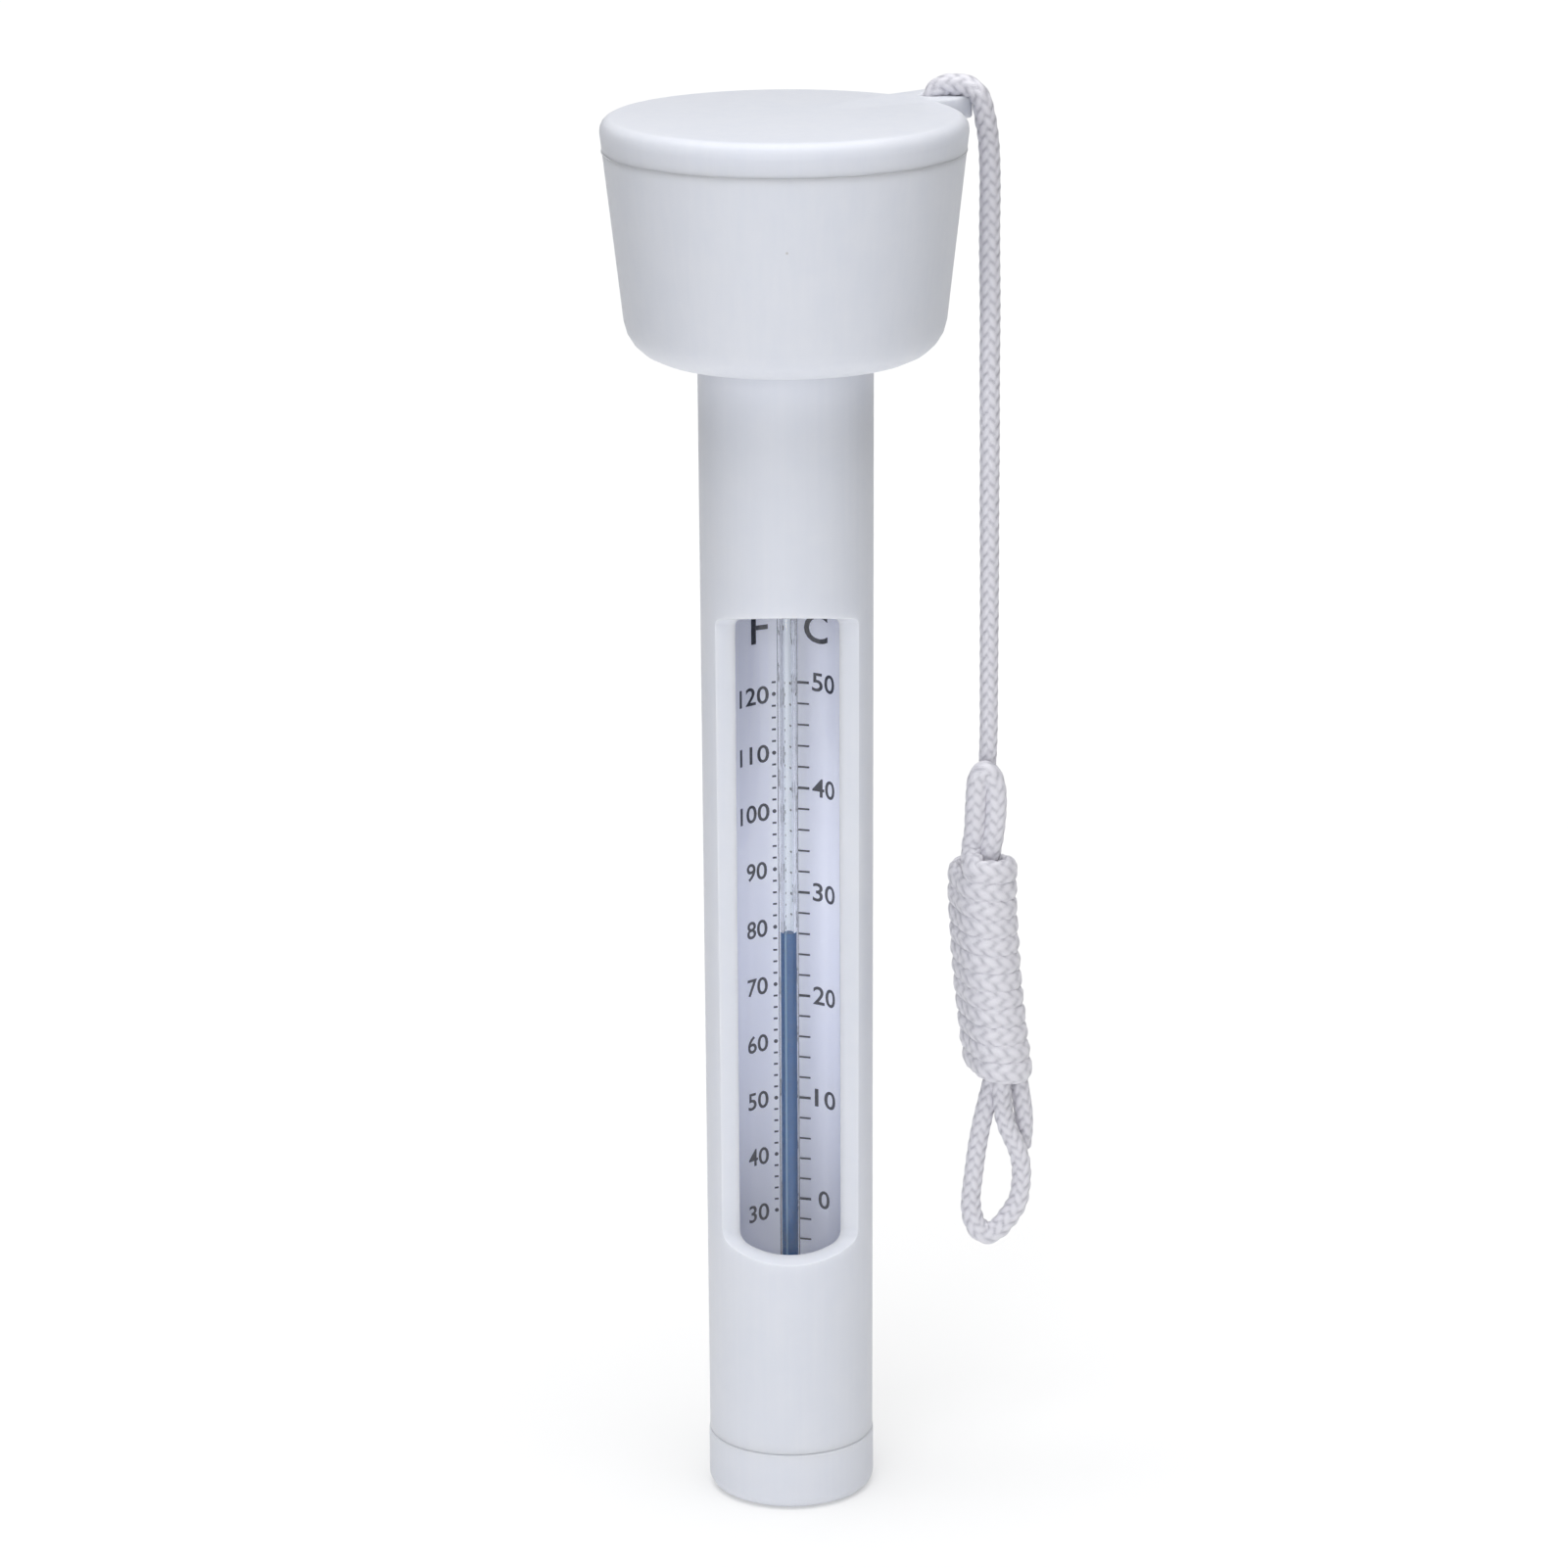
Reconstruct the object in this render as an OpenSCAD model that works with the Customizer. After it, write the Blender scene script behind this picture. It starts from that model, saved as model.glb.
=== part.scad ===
// Floating pool thermometer: a sealed float head moulded in one with a windowed tube,
// a clear inner tube that holds the scale card and the glass stem, a weighted end cap,
// and a braided lanyard that is tied through a lug on the lid and wound into a hank.
// Millimetres. The origin is the centre of the base, +Z is up, the window faces -Y.

/* [Whole] */
// Overall height, base to lid top
total_h = 167; // [160:1:180]

/* [Float head] */
// Lid diameter
lid_d = 42; // [38:0.5:46]
// Height of the lid above the seam
lid_h = 3.9; // [3:0.1:5]
// Radius of the lid's rounded top edge
lid_edge_r = 1.8; // [1:0.1:2]
// Thickness of the lid plate
lid_t = 2; // [1.6:0.1:2.4]
// Outside height of the float head, from the neck to the lid top
head_h = 27.7; // [24:0.1:32]
// Radius of the cup wall just above its bottom fillet
cup_r_low = 18.6; // [17:0.1:19.5]
// Radius of the cup's bottom fillet
cup_fillet_r = 5; // [3:0.5:6]
// Wall thickness of the cup
cup_wall = 1.6; // [1.2:0.1:2]

/* [Lug] */
// Direction of the lug, from +X towards +Y
lug_angle = 41; // [0:1:90]
// Distance from the axis to the lug's tip
lug_reach = 26.2; // [25:0.1:27]
// Width of the lug
lug_w = 7.8; // [7:0.1:9]
// Radius of the lug's corners
lug_corner_r = 1.2; // [1:0.1:2]
// Thickness of the lug
lug_t = 2.6; // [2:0.1:3]
// Diameter of the lanyard hole
lug_hole_d = 2.8; // [2.6:0.1:3]
// Distance from the axis to the lanyard hole
lug_hole_at = 22.8; // [22.6:0.1:23]

/* [Tube] */
// Outside radius of the tube at the neck
tube_r_top = 10.15; // [10:0.05:10.5]
// Outside radius of the tube at its lower end
tube_r_low = 9.85; // [9.7:0.05:10]
// Bore of the tube
bore_d = 16.5; // [16.4:0.1:16.8]

/* [Window] */
// Height of the top of the window at the bore
window_top = 110.2; // [105:0.1:115]
// Height of the bottom of the window at the bore
window_floor = 32.2; // [31:0.1:36]
// Distance from the axis to the window's flat side lands
land_y = 5.7; // [5.2:0.1:6]
// Slope of the window's top, flaring outwards
ceiling_slope = 16; // [5:1:20]
// Slope of the window's floor, falling outwards
floor_slope = 25; // [10:1:30]

/* [End cap] */
// Height of the cap outside
cap_h = 7.1; // [6:0.1:9]
// Radius of the cap outside
cap_r = 9.95; // [9.8:0.05:10.2]
// Radius of the cap's rounded bottom edge
cap_edge_r = 1.5; // [1:0.1:2]
// Diameter of the drain holes
drain_d = 2; // [1.5:0.1:2.2]

/* [Sight tube and card] */
// Outside diameter of the clear inner tube
sight_d = 16; // [15.8:0.1:16.2]
// Wall of the clear inner tube
sight_wall = 0.9; // [0.8:0.1:1]
// Angle that the rolled card covers
card_angle = 160; // [140:5:170]
// Thickness of the card
card_t = 0.25; // [0.2:0.05:0.3]

/* [Thermometer stem] */
// Outside diameter of the glass stem
stem_d = 2.4; // [2.2:0.1:2.8]
// Bore of the glass stem
stem_bore_d = 1.24; // [1.2:0.02:1.3]
// Diameter of the bulb
bulb_d = 10; // [8:0.5:11]
// Height of the spirit's top at rest
spirit_top = 69.8; // [60:0.1:75]
// Length of the moving tip of the spirit column
tip_l = 3.5; // [3:0.1:4]

/* [Lanyard] */
// Diameter of the braided cord
cord_d = 2.4; // [2:0.1:2.6]

/* [Hidden] */
$fn = 96;

white = [0.87, 0.88, 0.91];
clear = [0.85, 0.92, 0.95, 0.35];
paper = [0.82, 0.83, 0.92];
spirit = [0.12, 0.32, 0.62];
foam = [0.93, 0.93, 0.92];
cord_white = [0.9, 0.9, 0.93];

// Heights of the joints between the mouldings
neck_z = total_h - head_h;
rim_z = total_h - lid_h;
edge_z = total_h - lid_edge_r;
floor_z = neck_z + 2;
bore_top = neck_z - 0.3;
fillet_z = neck_z + cup_fillet_r;

// The cup wall leans out from the fillet to the lid's edge
lid_r = lid_d / 2;
lean = atan((lid_r - cup_r_low) / (edge_z - fillet_z));
cup_r_rim = cup_r_low + (rim_z - fillet_z) * tan(lean);
cup_in_rim = cup_r_rim - cup_wall;
inner_fillet_r = cup_fillet_r - cup_wall;
bore_r = bore_d / 2;
sight_r = sight_d / 2;
sight_in = sight_r - sight_wall;
stem_r = stem_d / 2;
stem_bore_r = stem_bore_d / 2;
bulb_r = bulb_d / 2;
cord_r = cord_d / 2;

// Lid spigot that sits inside the cup
spigot_r = cup_in_rim - 0.05;
spigot_wall = 1.5;
spigot_l = 3;
spigot_low_r = spigot_r - spigot_l * tan(lean) - 0.1;

// End cap: floor, well for the ballast, and the spigot inside the tube
cap_floor = 2.2;
cap_well_r = 6.9;
cap_spigot_r = bore_r - 0.05;
cap_spigot_l = 3;
cap_top = cap_h + cap_spigot_l;
drain_count = 3;
drain_at = 6;
ballast_r = 4.8;

// Stack inside the clear tube
sight_top = 134;
plug_r = sight_in - 0.05;
plug_h = 3;
bulb_z = cap_top + plug_h + 0.2;
bulb_top = 22;
holder_h = 3;
holder_low_z = bulb_top + 0.4;
card_z = holder_low_z + holder_h + 0.1;
holder_top_z = 114;
card_top = holder_top_z - 0.2;
stem_top = 122;
glass_wall = 0.6;

// Slack between parts of the same body, and an overshoot for clean cuts
gap = 0.05;
over = 1;

// Lanyard: route points of each stretch, chosen by hand
cord_sides = 8;
run_points = [[17.2, 15, 164.2], [17.2, 15, 166], [17.6, 14.9, 167.4], [18.6, 14.7, 168.25],
    [19.9, 14.4, 168.45], [21.2, 14, 168.3], [22.35, 13.65, 167.7], [23, 13.5, 166.6],
    [23.4, 13.45, 165.3], [23.65, 13.45, 163.8], [23.8, 13.5, 162], [23.9, 13.5, 158], [23.9, 13.5, 150],
    [24, 13.5, 142], [24, 13.5, 134], [24.1, 13.5, 126], [24.1, 13.5, 118], [24.2, 13.5, 110],
    [24.2, 13.5, 102], [24.2, 13.5, 95], [24.2, 13.6, 90], [24, 13.9, 85], [23.5, 14.1, 80],
    [23.1, 14.1, 75.6]];
bight_points = [[24.2, 11.7, 75.6], [24.6, 11.5, 78], [24.9, 11.4, 81], [25, 11.3, 83.6],
    [24.8, 11.3, 85], [24.3, 11.3, 85.9], [23.7, 11.3, 86.2], [23.1, 11.3, 85.9],
    [22.6, 11.3, 85], [22.4, 11.3, 83.6], [22.2, 11.4, 81], [22, 11.6, 78], [21.7, 11.8, 75.6]];
loop_points = [[25, 14.1, 47.4], [24.4, 13.8, 44.6], [23.7, 13.4, 41.8], [23.2, 13, 39],
    [22.8, 12.9, 36.6], [22.5, 12.8, 34], [22.3, 12.8, 31.4], [22.4, 12.8, 29],
    [23, 12.8, 27.1], [24.2, 12.8, 26.1], [25.5, 12.8, 26.3], [26.7, 12.8, 27.4],
    [27.6, 12.8, 29.2], [28.1, 12.7, 31.6], [28.4, 12.6, 34.2], [28.4, 12.5, 36.8],
    [28.2, 12.3, 39.6], [27.7, 12.1, 42.2], [27, 12, 44.8], [26.1, 11.9, 47.4]];
tail_points = [[27.7, 14.7, 47.4], [27.6, 14.8, 45], [27.4, 14.7, 42.6], [27.1, 14.6, 40.2],
    [26.9, 14.5, 38.4]];
// Hank: core of two runs side by side, wound over with one layer
hank_top = [23.2, 13, 75.6];
hank_low = [25.2, 13, 47.4];
hank_turn = 25;
knot_at = [17.66, 15.4, 161.7];
knot_r = 2.5;

// Points of a circular arc in a plane
function arc(cx, cy, r, from, to, steps) =
    [for (i = [0 : steps]) let (a = from + (to - from) * i / steps) [cx + r * cos(a), cy + r * sin(a)]];

// Direction of a route at one of its points
function along(p, i) =
    let (a = p[max(i - 1, 0)], b = p[min(i + 1, len(p) - 1)]) (b - a) / norm(b - a);

// One ring of points square to the route, with its first axis held near a fixed direction
function ring(p, i, r, hold) =
    let (t = along(p, i), s = cross(t, hold), u = s / norm(s), v = cross(t, u))
    [for (k = [0 : cord_sides - 1]) let (a = k * 360 / cord_sides) p[i] + r * (u * cos(a) + v * sin(a))];

module cord_tube(p, hold = [0, 1, 0]) {
    rings = len(p);
    points = [for (i = [0 : rings - 1]) each ring(p, i, cord_r, hold)];
    sides = [for (i = [0 : rings - 2]) for (k = [0 : cord_sides - 1])
        let (a = i * cord_sides + k, b = i * cord_sides + (k + 1) % cord_sides)
        [a, b, b + cord_sides, a + cord_sides]];
    first = [for (k = [cord_sides - 1 : -1 : 0]) k];
    last = [for (k = [0 : cord_sides - 1]) (rings - 1) * cord_sides + k];
    polyhedron(points, concat(sides, [first, last]), convexity = 6);
}

module ring_solid(r_out, r_in, z, h) {
    translate([0, 0, z])
        difference() {
            cylinder(r = r_out, h = h);
            translate([0, 0, -over]) cylinder(r = r_in, h = h + 2 * over);
        }
}

// Lid plate with a rounded edge, a skirt that meets the cup rim, and a spigot inside the cup
module lid_plate() {
    rotate_extrude()
        polygon(concat(
            [[0, total_h - lid_t], [spigot_r - spigot_wall, total_h - lid_t],
             [spigot_r - spigot_wall, rim_z - spigot_l], [spigot_low_r, rim_z - spigot_l],
             [spigot_r, rim_z], [cup_r_rim, rim_z]],
            arc(lid_r - lid_edge_r, edge_z, lid_edge_r, 0, 90, 8),
            [[0, total_h]]));
}

// Tab for the lanyard, flush with the lid's top
module lug() {
    root = lid_r - 3;
    half = lug_w / 2;
    rotate([0, 0, lug_angle])
        translate([0, 0, total_h - lug_t])
            linear_extrude(lug_t) {
                translate([root, -half]) square([lug_reach - lug_corner_r - root, lug_w]);
                translate([root, lug_corner_r - half]) square([lug_reach - root, lug_w - 2 * lug_corner_r]);
                for (side = [-1, 1])
                    translate([lug_reach - lug_corner_r, side * (half - lug_corner_r)]) circle(lug_corner_r);
            }
}

module float_lid() {
    color(white)
        difference() {
            union() {
                lid_plate();
                lug();
            }
            rotate([0, 0, lug_angle])
                translate([lug_hole_at, 0, total_h - lug_t - over])
                    cylinder(d = lug_hole_d, h = lug_t + 2 * over);
        }
}

// Float cup and tube turned in one, closed between them by the cup's floor
module casing_body() {
    fillet_x = cup_r_low - cup_fillet_r;
    rotate_extrude()
        polygon(concat(
            [[bore_r, cap_h], [tube_r_low, cap_h], [tube_r_top, neck_z]],
            arc(fillet_x, fillet_z, cup_fillet_r, -90, -lean, 8),
            [[cup_r_rim, rim_z], [cup_in_rim, rim_z]],
            arc(fillet_x, floor_z + inner_fillet_r, inner_fillet_r, -lean, -90, 6),
            [[0, floor_z], [0, bore_top], [bore_r, bore_top]]));
}

// Wedge in front of the axis that leaves flat side lands and a sloping floor and top
module window_cut() {
    reach = lid_d / 3;
    corner_r = 1.6;
    rise = tan(ceiling_slope);
    fall = tan(floor_slope);
    floor_at_land = window_floor + (bore_r - land_y) * fall;
    corner_l = corner_r / tan(45 + floor_slope / 2);
    translate([-reach, 0, 0])
        rotate([90, 0, 90])
            linear_extrude(2 * reach)
                polygon(concat(
                    [[-reach, window_floor - (reach - bore_r) * fall]],
                    arc(-land_y - corner_r, floor_at_land + corner_l, corner_r, floor_slope - 90, 0, 6),
                    [[-land_y, window_top - (bore_r - land_y) * rise],
                     [-reach, window_top + (reach - bore_r) * rise]]));
}

module casing() {
    color(white)
        difference() {
            casing_body();
            window_cut();
        }
}

module end_cap() {
    color(white)
        difference() {
            rotate_extrude()
                polygon(concat(
                    [[0, 0]],
                    arc(cap_r - cap_edge_r, cap_edge_r, cap_edge_r, -90, 0, 6),
                    [[cap_r, cap_h], [cap_spigot_r, cap_h], [cap_spigot_r, cap_top],
                     [cap_well_r, cap_top], [cap_well_r, cap_floor], [0, cap_floor]]));
            for (i = [0 : drain_count - 1])
                rotate([0, 0, 90 + i * 360 / drain_count])
                    translate([drain_at, 0, -over]) cylinder(d = drain_d, h = cap_floor + 2 * over);
        }
}

module ballast_weight() {
    color("silver")
        translate([0, 0, cap_floor]) cylinder(r = ballast_r, h = cap_top - cap_floor - 0.5);
}

module sight_tube() {
    color(clear) ring_solid(sight_r, sight_in, cap_top, sight_top - cap_top);
}

module tube_plug_top() {
    color(foam) translate([0, 0, sight_top - plug_h]) cylinder(r = plug_r, h = plug_h);
}

module tube_plug_bottom() {
    color(foam) translate([0, 0, cap_top]) cylinder(r = plug_r, h = plug_h);
}

// Soft pad that keeps the clear tube pressed down on the end cap
module top_cushion() {
    color("dimgray") translate([0, 0, sight_top]) cylinder(r = sight_r - 0.2, h = bore_top - sight_top);
}

// Printed card, rolled to line the back of the clear tube
module scale_card() {
    color(paper)
        rotate([0, 0, 90 - card_angle / 2])
            translate([0, 0, card_z])
                rotate_extrude(angle = card_angle)
                    translate([sight_in - gap - card_t, 0]) square([card_t, card_top - card_z]);
}

// Glass stem with its bulb; the inner space is closed at the top
module stem_glass() {
    shoulder_r = 2;
    color(clear)
        difference() {
            rotate_extrude()
                polygon(concat(
                    [[0, bulb_z]],
                    arc(bulb_r - shoulder_r, bulb_z + shoulder_r, shoulder_r, -90, 0, 6),
                    arc(bulb_r - shoulder_r, bulb_top - shoulder_r, shoulder_r, 0, 90, 6),
                    [[stem_r, bulb_top]],
                    arc(0, stem_top - stem_r, stem_r, 0, 90, 6)));
            translate([0, 0, bulb_z + glass_wall])
                cylinder(r = bulb_r - glass_wall - 0.4, h = bulb_top - bulb_z - 2 * glass_wall);
            translate([0, 0, bulb_top - 2 * glass_wall])
                cylinder(r = stem_bore_r, h = stem_top - 2 * stem_r - bulb_top + 2 * glass_wall);
        }
}

module stem_holder_top() {
    color(foam) ring_solid(plug_r, stem_r + gap, holder_top_z, holder_h);
}

module stem_holder_bottom() {
    color(foam) ring_solid(plug_r, stem_r + gap, holder_low_z, holder_h);
}

module bulb_spirit() {
    color(spirit)
        translate([0, 0, bulb_z + glass_wall])
            cylinder(r = bulb_r - glass_wall - 0.4, h = bulb_top - bulb_z - 2 * glass_wall);
}

// Spirit thread from the bulb to its moving tip; it stretches as the tip rises
module spirit_column() {
    foot = bulb_top - glass_wall;
    color(spirit) translate([0, 0, foot]) cylinder(r = stem_bore_r - 0.02, h = spirit_top - tip_l - foot);
}

module spirit_tip() {
    color(spirit) translate([0, 0, spirit_top - tip_l]) cylinder(r = stem_bore_r - 0.06, h = tip_l);
}

module cord_knot() {
    color(cord_white) translate(knot_at) sphere(r = knot_r);
}

module cord_run() {
    color(cord_white) cord_tube(run_points);
}

module cord_bight() {
    color(cord_white) cord_tube(bight_points);
}

// Outline of the wound hank: two runs of cord with one layer around them
module hank_outline() {
    rotate([0, 0, hank_turn]) {
        translate([-1.5 * cord_d, -cord_r]) square([3 * cord_d, cord_d]);
        for (side = [-1, 1])
            translate([0, side * cord_r]) circle(1.5 * cord_d);
    }
}

// The hank leans a little, from its lower end to its upper end
module cord_hank() {
    run = hank_top - hank_low;
    color(cord_white)
        translate(hank_low)
            rotate([0, atan2(run.x, run.z), 0])
                linear_extrude(norm(run)) hank_outline();
}

module cord_loop() {
    color(cord_white) cord_tube(loop_points);
}

module cord_tail() {
    color(cord_white) cord_tube(tail_points);
}

float_lid();
casing();
end_cap();
ballast_weight();
sight_tube();
tube_plug_top();
tube_plug_bottom();
top_cushion();
scale_card();
stem_glass();
stem_holder_top();
stem_holder_bottom();
bulb_spirit();
spirit_column();
spirit_tip();
cord_knot();
cord_run();
cord_bight();
cord_hank();
cord_loop();
cord_tail();
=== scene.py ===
import math
import bmesh
import bpy
from mathutils import Matrix, Vector, noise


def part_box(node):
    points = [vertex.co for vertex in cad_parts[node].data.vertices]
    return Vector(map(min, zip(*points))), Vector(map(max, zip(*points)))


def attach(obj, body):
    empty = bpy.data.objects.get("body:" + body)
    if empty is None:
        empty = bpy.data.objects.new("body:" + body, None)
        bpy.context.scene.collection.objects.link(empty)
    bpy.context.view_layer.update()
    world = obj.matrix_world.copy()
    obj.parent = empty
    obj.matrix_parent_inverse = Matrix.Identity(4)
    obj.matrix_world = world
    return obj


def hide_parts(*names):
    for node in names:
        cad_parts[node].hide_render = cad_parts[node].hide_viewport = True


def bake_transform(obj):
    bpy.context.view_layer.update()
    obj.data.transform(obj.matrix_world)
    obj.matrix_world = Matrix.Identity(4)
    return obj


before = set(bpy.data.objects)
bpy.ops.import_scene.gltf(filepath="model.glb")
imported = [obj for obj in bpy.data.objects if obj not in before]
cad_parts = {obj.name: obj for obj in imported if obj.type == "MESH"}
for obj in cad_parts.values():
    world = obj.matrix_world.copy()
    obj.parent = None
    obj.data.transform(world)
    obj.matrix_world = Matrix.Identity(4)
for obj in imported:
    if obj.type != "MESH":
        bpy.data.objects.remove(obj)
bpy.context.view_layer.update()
scene = bpy.context.scene
mm = 0.001


# Shell plastic: a bluish white injection-moulded polypropylene, satin and slightly translucent,
# with a fine spark-eroded grain, faint vertical drag marks from the mould, soft flow clouds and
# a few specks. The lid, casing, end cap and weld flash are made of it.

class Wire:
    """One output of a shader node. Sums and products on it add Math nodes."""

    def __init__(self, tree, socket=None):
        self.tree = tree
        self.socket = socket

    def add(self, kind, inputs, settings=None, output=0):
        node = self.tree.nodes.new("ShaderNode" + kind)
        for key, value in (settings or {}).items():
            setattr(node, key, value)
        for key, value in inputs.items():
            if isinstance(value, Wire):
                self.tree.links.new(value.socket, node.inputs[key])
            else:
                node.inputs[key].default_value = value
        return Wire(self.tree, node.outputs[output] if node.outputs else None)

    def maths(self, operation, *values):
        return self.add("Math", dict(enumerate(values)), {"operation": operation})

    def __add__(self, other):
        return self.maths("ADD", self, other)

    def __sub__(self, other):
        return self.maths("SUBTRACT", self, other)

    def __rsub__(self, other):
        return self.maths("SUBTRACT", other, self)

    def __mul__(self, other):
        return self.maths("MULTIPLY", self, other)

    __radd__ = __add__
    __rmul__ = __mul__

    def above(self, low, high):
        """0 below low, 1 above high, smooth between them."""
        return self.add("MapRange", {"Value": self, "From Min": low, "From Max": high},
                        {"interpolation_type": "SMOOTHSTEP"})

    def tint(self, first, second):
        """The first colour where this is 0, the second where it is 1."""
        return self.add("Mix", {"Factor": self, 6: first, 7: second}, {"data_type": "RGBA"}, 2)

    def clouds(self, scale, detail=2.0):
        """Soft noise read at this place."""
        return self.add("TexNoise", {"Vector": self, "Scale": scale, "Detail": detail})

    def stretched(self, x, y, z):
        """This place scaled along each axis."""
        return self.add("Mapping", {"Vector": self, "Scale": (x, y, z)})

    def relief(self, depth, strength=1.0):
        """A normal bumped by this height, in metres when it runs from 0 to 1."""
        return self.add("Bump", {"Height": self, "Distance": depth, "Strength": strength},
                        output="Normal")


def new_finish(name):
    """An empty material and a Wire at its object coordinates."""
    material = bpy.data.materials.new(name)
    material.use_nodes = True
    material.node_tree.nodes.clear()
    return material, Wire(material.node_tree).add("TexCoord", {}, output="Object")


def lay_on(wire, surface):
    """Gives the material its surface."""
    wire.add("OutputMaterial", {"Surface": surface})


def shell_plastic():
    white = (0.700, 0.716, 0.768, 1)
    cool = (0.668, 0.690, 0.752, 1)
    speck = (0.40, 0.38, 0.35, 1)
    material, place = new_finish("shell_plastic")
    flow = place.clouds(70, 3) * 0.6 + place.clouds(320) * 0.4
    drag = place.stretched(1, 1, 0.03).clouds(1300, 3)
    cells = place.add("TexVoronoi", {"Vector": place, "Scale": 110.0})
    dots = 1 - cells.above(0.012, 0.022)
    shade = (flow * 0.7 + drag * 0.3).above(0.3, 0.7)
    colour = (dots * 0.5).tint(shade.tint(cool, white), speck)
    grain = place.clouds(5200, 3) * 0.6 + drag * 0.4
    wear = place.clouds(900, 4)
    surface = place.add("BsdfPrincipled", {
        "Base Color": colour,
        "Roughness": 0.40 + 0.12 * wear,
        "IOR": 1.49,
        "Specular IOR Level": 0.3,
        "Subsurface Weight": 0.7,
        "Subsurface Radius": (1.0, 1.0, 1.0),
        "Subsurface Scale": 0.002,
        "Normal": grain.relief(0.000012)}, output="BSDF")
    lay_on(place, surface)
    return material


shell = shell_plastic()


# Float lid: an injection-moulded plate of the shell plastic with a rounded edge and a tab for the
# lanyard, welded to the cup's rim over a short tapered spigot.

def rounded(corners, closed, steps=5):
    """An outline of (radius, height) points from corners (radius, height, rounding)."""
    points = []
    last = len(corners) - 1
    for i, (r, z, fillet) in enumerate(corners):
        here = Vector((r, z))
        if fillet == 0 or (not closed and i in (0, last)):
            points.append(here)
            continue
        before = (Vector(corners[i - 1][:2]) - here).normalized()
        after = (Vector(corners[(i + 1) % len(corners)][:2]) - here).normalized()
        half = before.angle(after) / 2
        centre = here + (before + after).normalized() * fillet / math.sin(half)
        start = here + before * fillet / math.tan(half) - centre
        turn = start.angle_signed(here + after * fillet / math.tan(half) - centre)
        for k in range(steps + 1):
            a = -turn * k / steps
            points.append(centre + Vector((start.x * math.cos(a) - start.y * math.sin(a),
                                           start.x * math.sin(a) + start.y * math.cos(a))))
    return points


def spun(corners, closed=True, turns=96):
    """A solid turned from a rounded outline, in millimetres."""
    bm = bmesh.new()
    verts = [bm.verts.new((r * mm, 0, z * mm)) for r, z in rounded(corners, closed)]
    edges = [bm.edges.new(pair) for pair in zip(verts, verts[1:])]
    if closed:
        edges.append(bm.edges.new((verts[-1], verts[0])))
    bmesh.ops.spin(bm, geom=verts + edges, axis=(0, 0, 1), cent=(0, 0, 0),
                   angle=2 * math.pi, steps=turns, use_merge=True)
    bmesh.ops.remove_doubles(bm, verts=bm.verts, dist=0.001 * mm)
    bmesh.ops.recalc_face_normals(bm, faces=bm.faces)
    return bm


def piece_of(name, bm, angle=32):
    """An object in the scene made of this mesh, smooth up to that angle."""
    mesh = bpy.data.meshes.new(name)
    bm.to_mesh(mesh)
    bm.free()
    mesh.shade_smooth()
    mesh.set_sharp_from_angle(angle=math.radians(angle))
    piece = bpy.data.objects.new(name, mesh)
    scene.collection.objects.link(piece)
    return piece


def combine(piece, tool, operation):
    """Cuts a piece with a tool, or welds them into one."""
    step = piece.modifiers.new("combine", "BOOLEAN")
    step.operation = operation
    step.solver = "EXACT"
    step.object = tool
    result = piece.evaluated_get(bpy.context.evaluated_depsgraph_get())
    mesh = bpy.data.meshes.new_from_object(result)
    piece.modifiers.clear()
    piece.data = mesh
    bpy.data.objects.remove(tool)


def finished(piece, name, material, slot, *nodes):
    """Names a rigid piece, gives it its finish and lets it stand for its CAD nodes."""
    piece.name = name
    piece.data.name = name
    piece.data.materials.clear()
    piece.data.materials.append(material)
    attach(piece, "float")
    if nodes:
        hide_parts(*nodes)
    return piece


lid_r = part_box("float_lid")[1].y / mm
lid_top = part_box("float_lid")[1].z / mm
lid_under = lid_top - 2
seam_z = lid_top - 3.9
rim_r = 20.75
spigot_low = seam_z - 3
spigot_in = 17.6

lid = piece_of("lid_body", spun([
    (0, lid_under, 0), (spigot_in, lid_under, 0.5), (spigot_in, spigot_low, 0.3),
    (18.65, spigot_low, 0.3), (19.0, seam_z, 0), (rim_r, seam_z, 0.05),
    (lid_r, lid_top - 1.8, 0.4), (lid_r, lid_top, 1.5), (0, lid_top, 0)], closed=False, turns=128))

lug_angle = math.radians(41)
lug_reach = 26.2
lug_root = lid_r - 3
lug_length = lug_reach - lug_root
lug_width = 7.8
lug_thick = 2.6
lug_under = lid_top - lug_thick
hole_at = 22.8
hole_r = 1.4

lug_mesh = bmesh.new()
bmesh.ops.create_cube(lug_mesh, size=1.0)
bmesh.ops.scale(lug_mesh, vec=Vector((lug_length, lug_width, lug_thick)) * mm,
                verts=lug_mesh.verts)
outer = [e for e in lug_mesh.edges if all(v.co.x > 0 for v in e.verts)
         and abs(e.verts[0].co.z - e.verts[1].co.z) > mm]
bmesh.ops.bevel(lug_mesh, geom=outer, offset=1.2 * mm, segments=8, affect="EDGES",
                profile=0.5, material=-1)
brims = [e for e in lug_mesh.edges if abs(e.verts[0].co.z - e.verts[1].co.z) < 0.01 * mm
         and max(v.co.x for v in e.verts) > (0.01 - lug_length / 2) * mm]
bmesh.ops.bevel(lug_mesh, geom=brims, offset=0.3 * mm, segments=3, affect="EDGES",
                profile=0.5, material=-1)
bmesh.ops.translate(lug_mesh, verts=lug_mesh.verts, vec=(
    (lug_root + lug_length / 2) * mm, 0, (lid_top - lug_thick / 2) * mm))
bmesh.ops.rotate(lug_mesh, cent=(0, 0, 0), verts=lug_mesh.verts,
                 matrix=Matrix.Rotation(lug_angle, 3, "Z"))
combine(lid, piece_of("lug", lug_mesh), "UNION")

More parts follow.
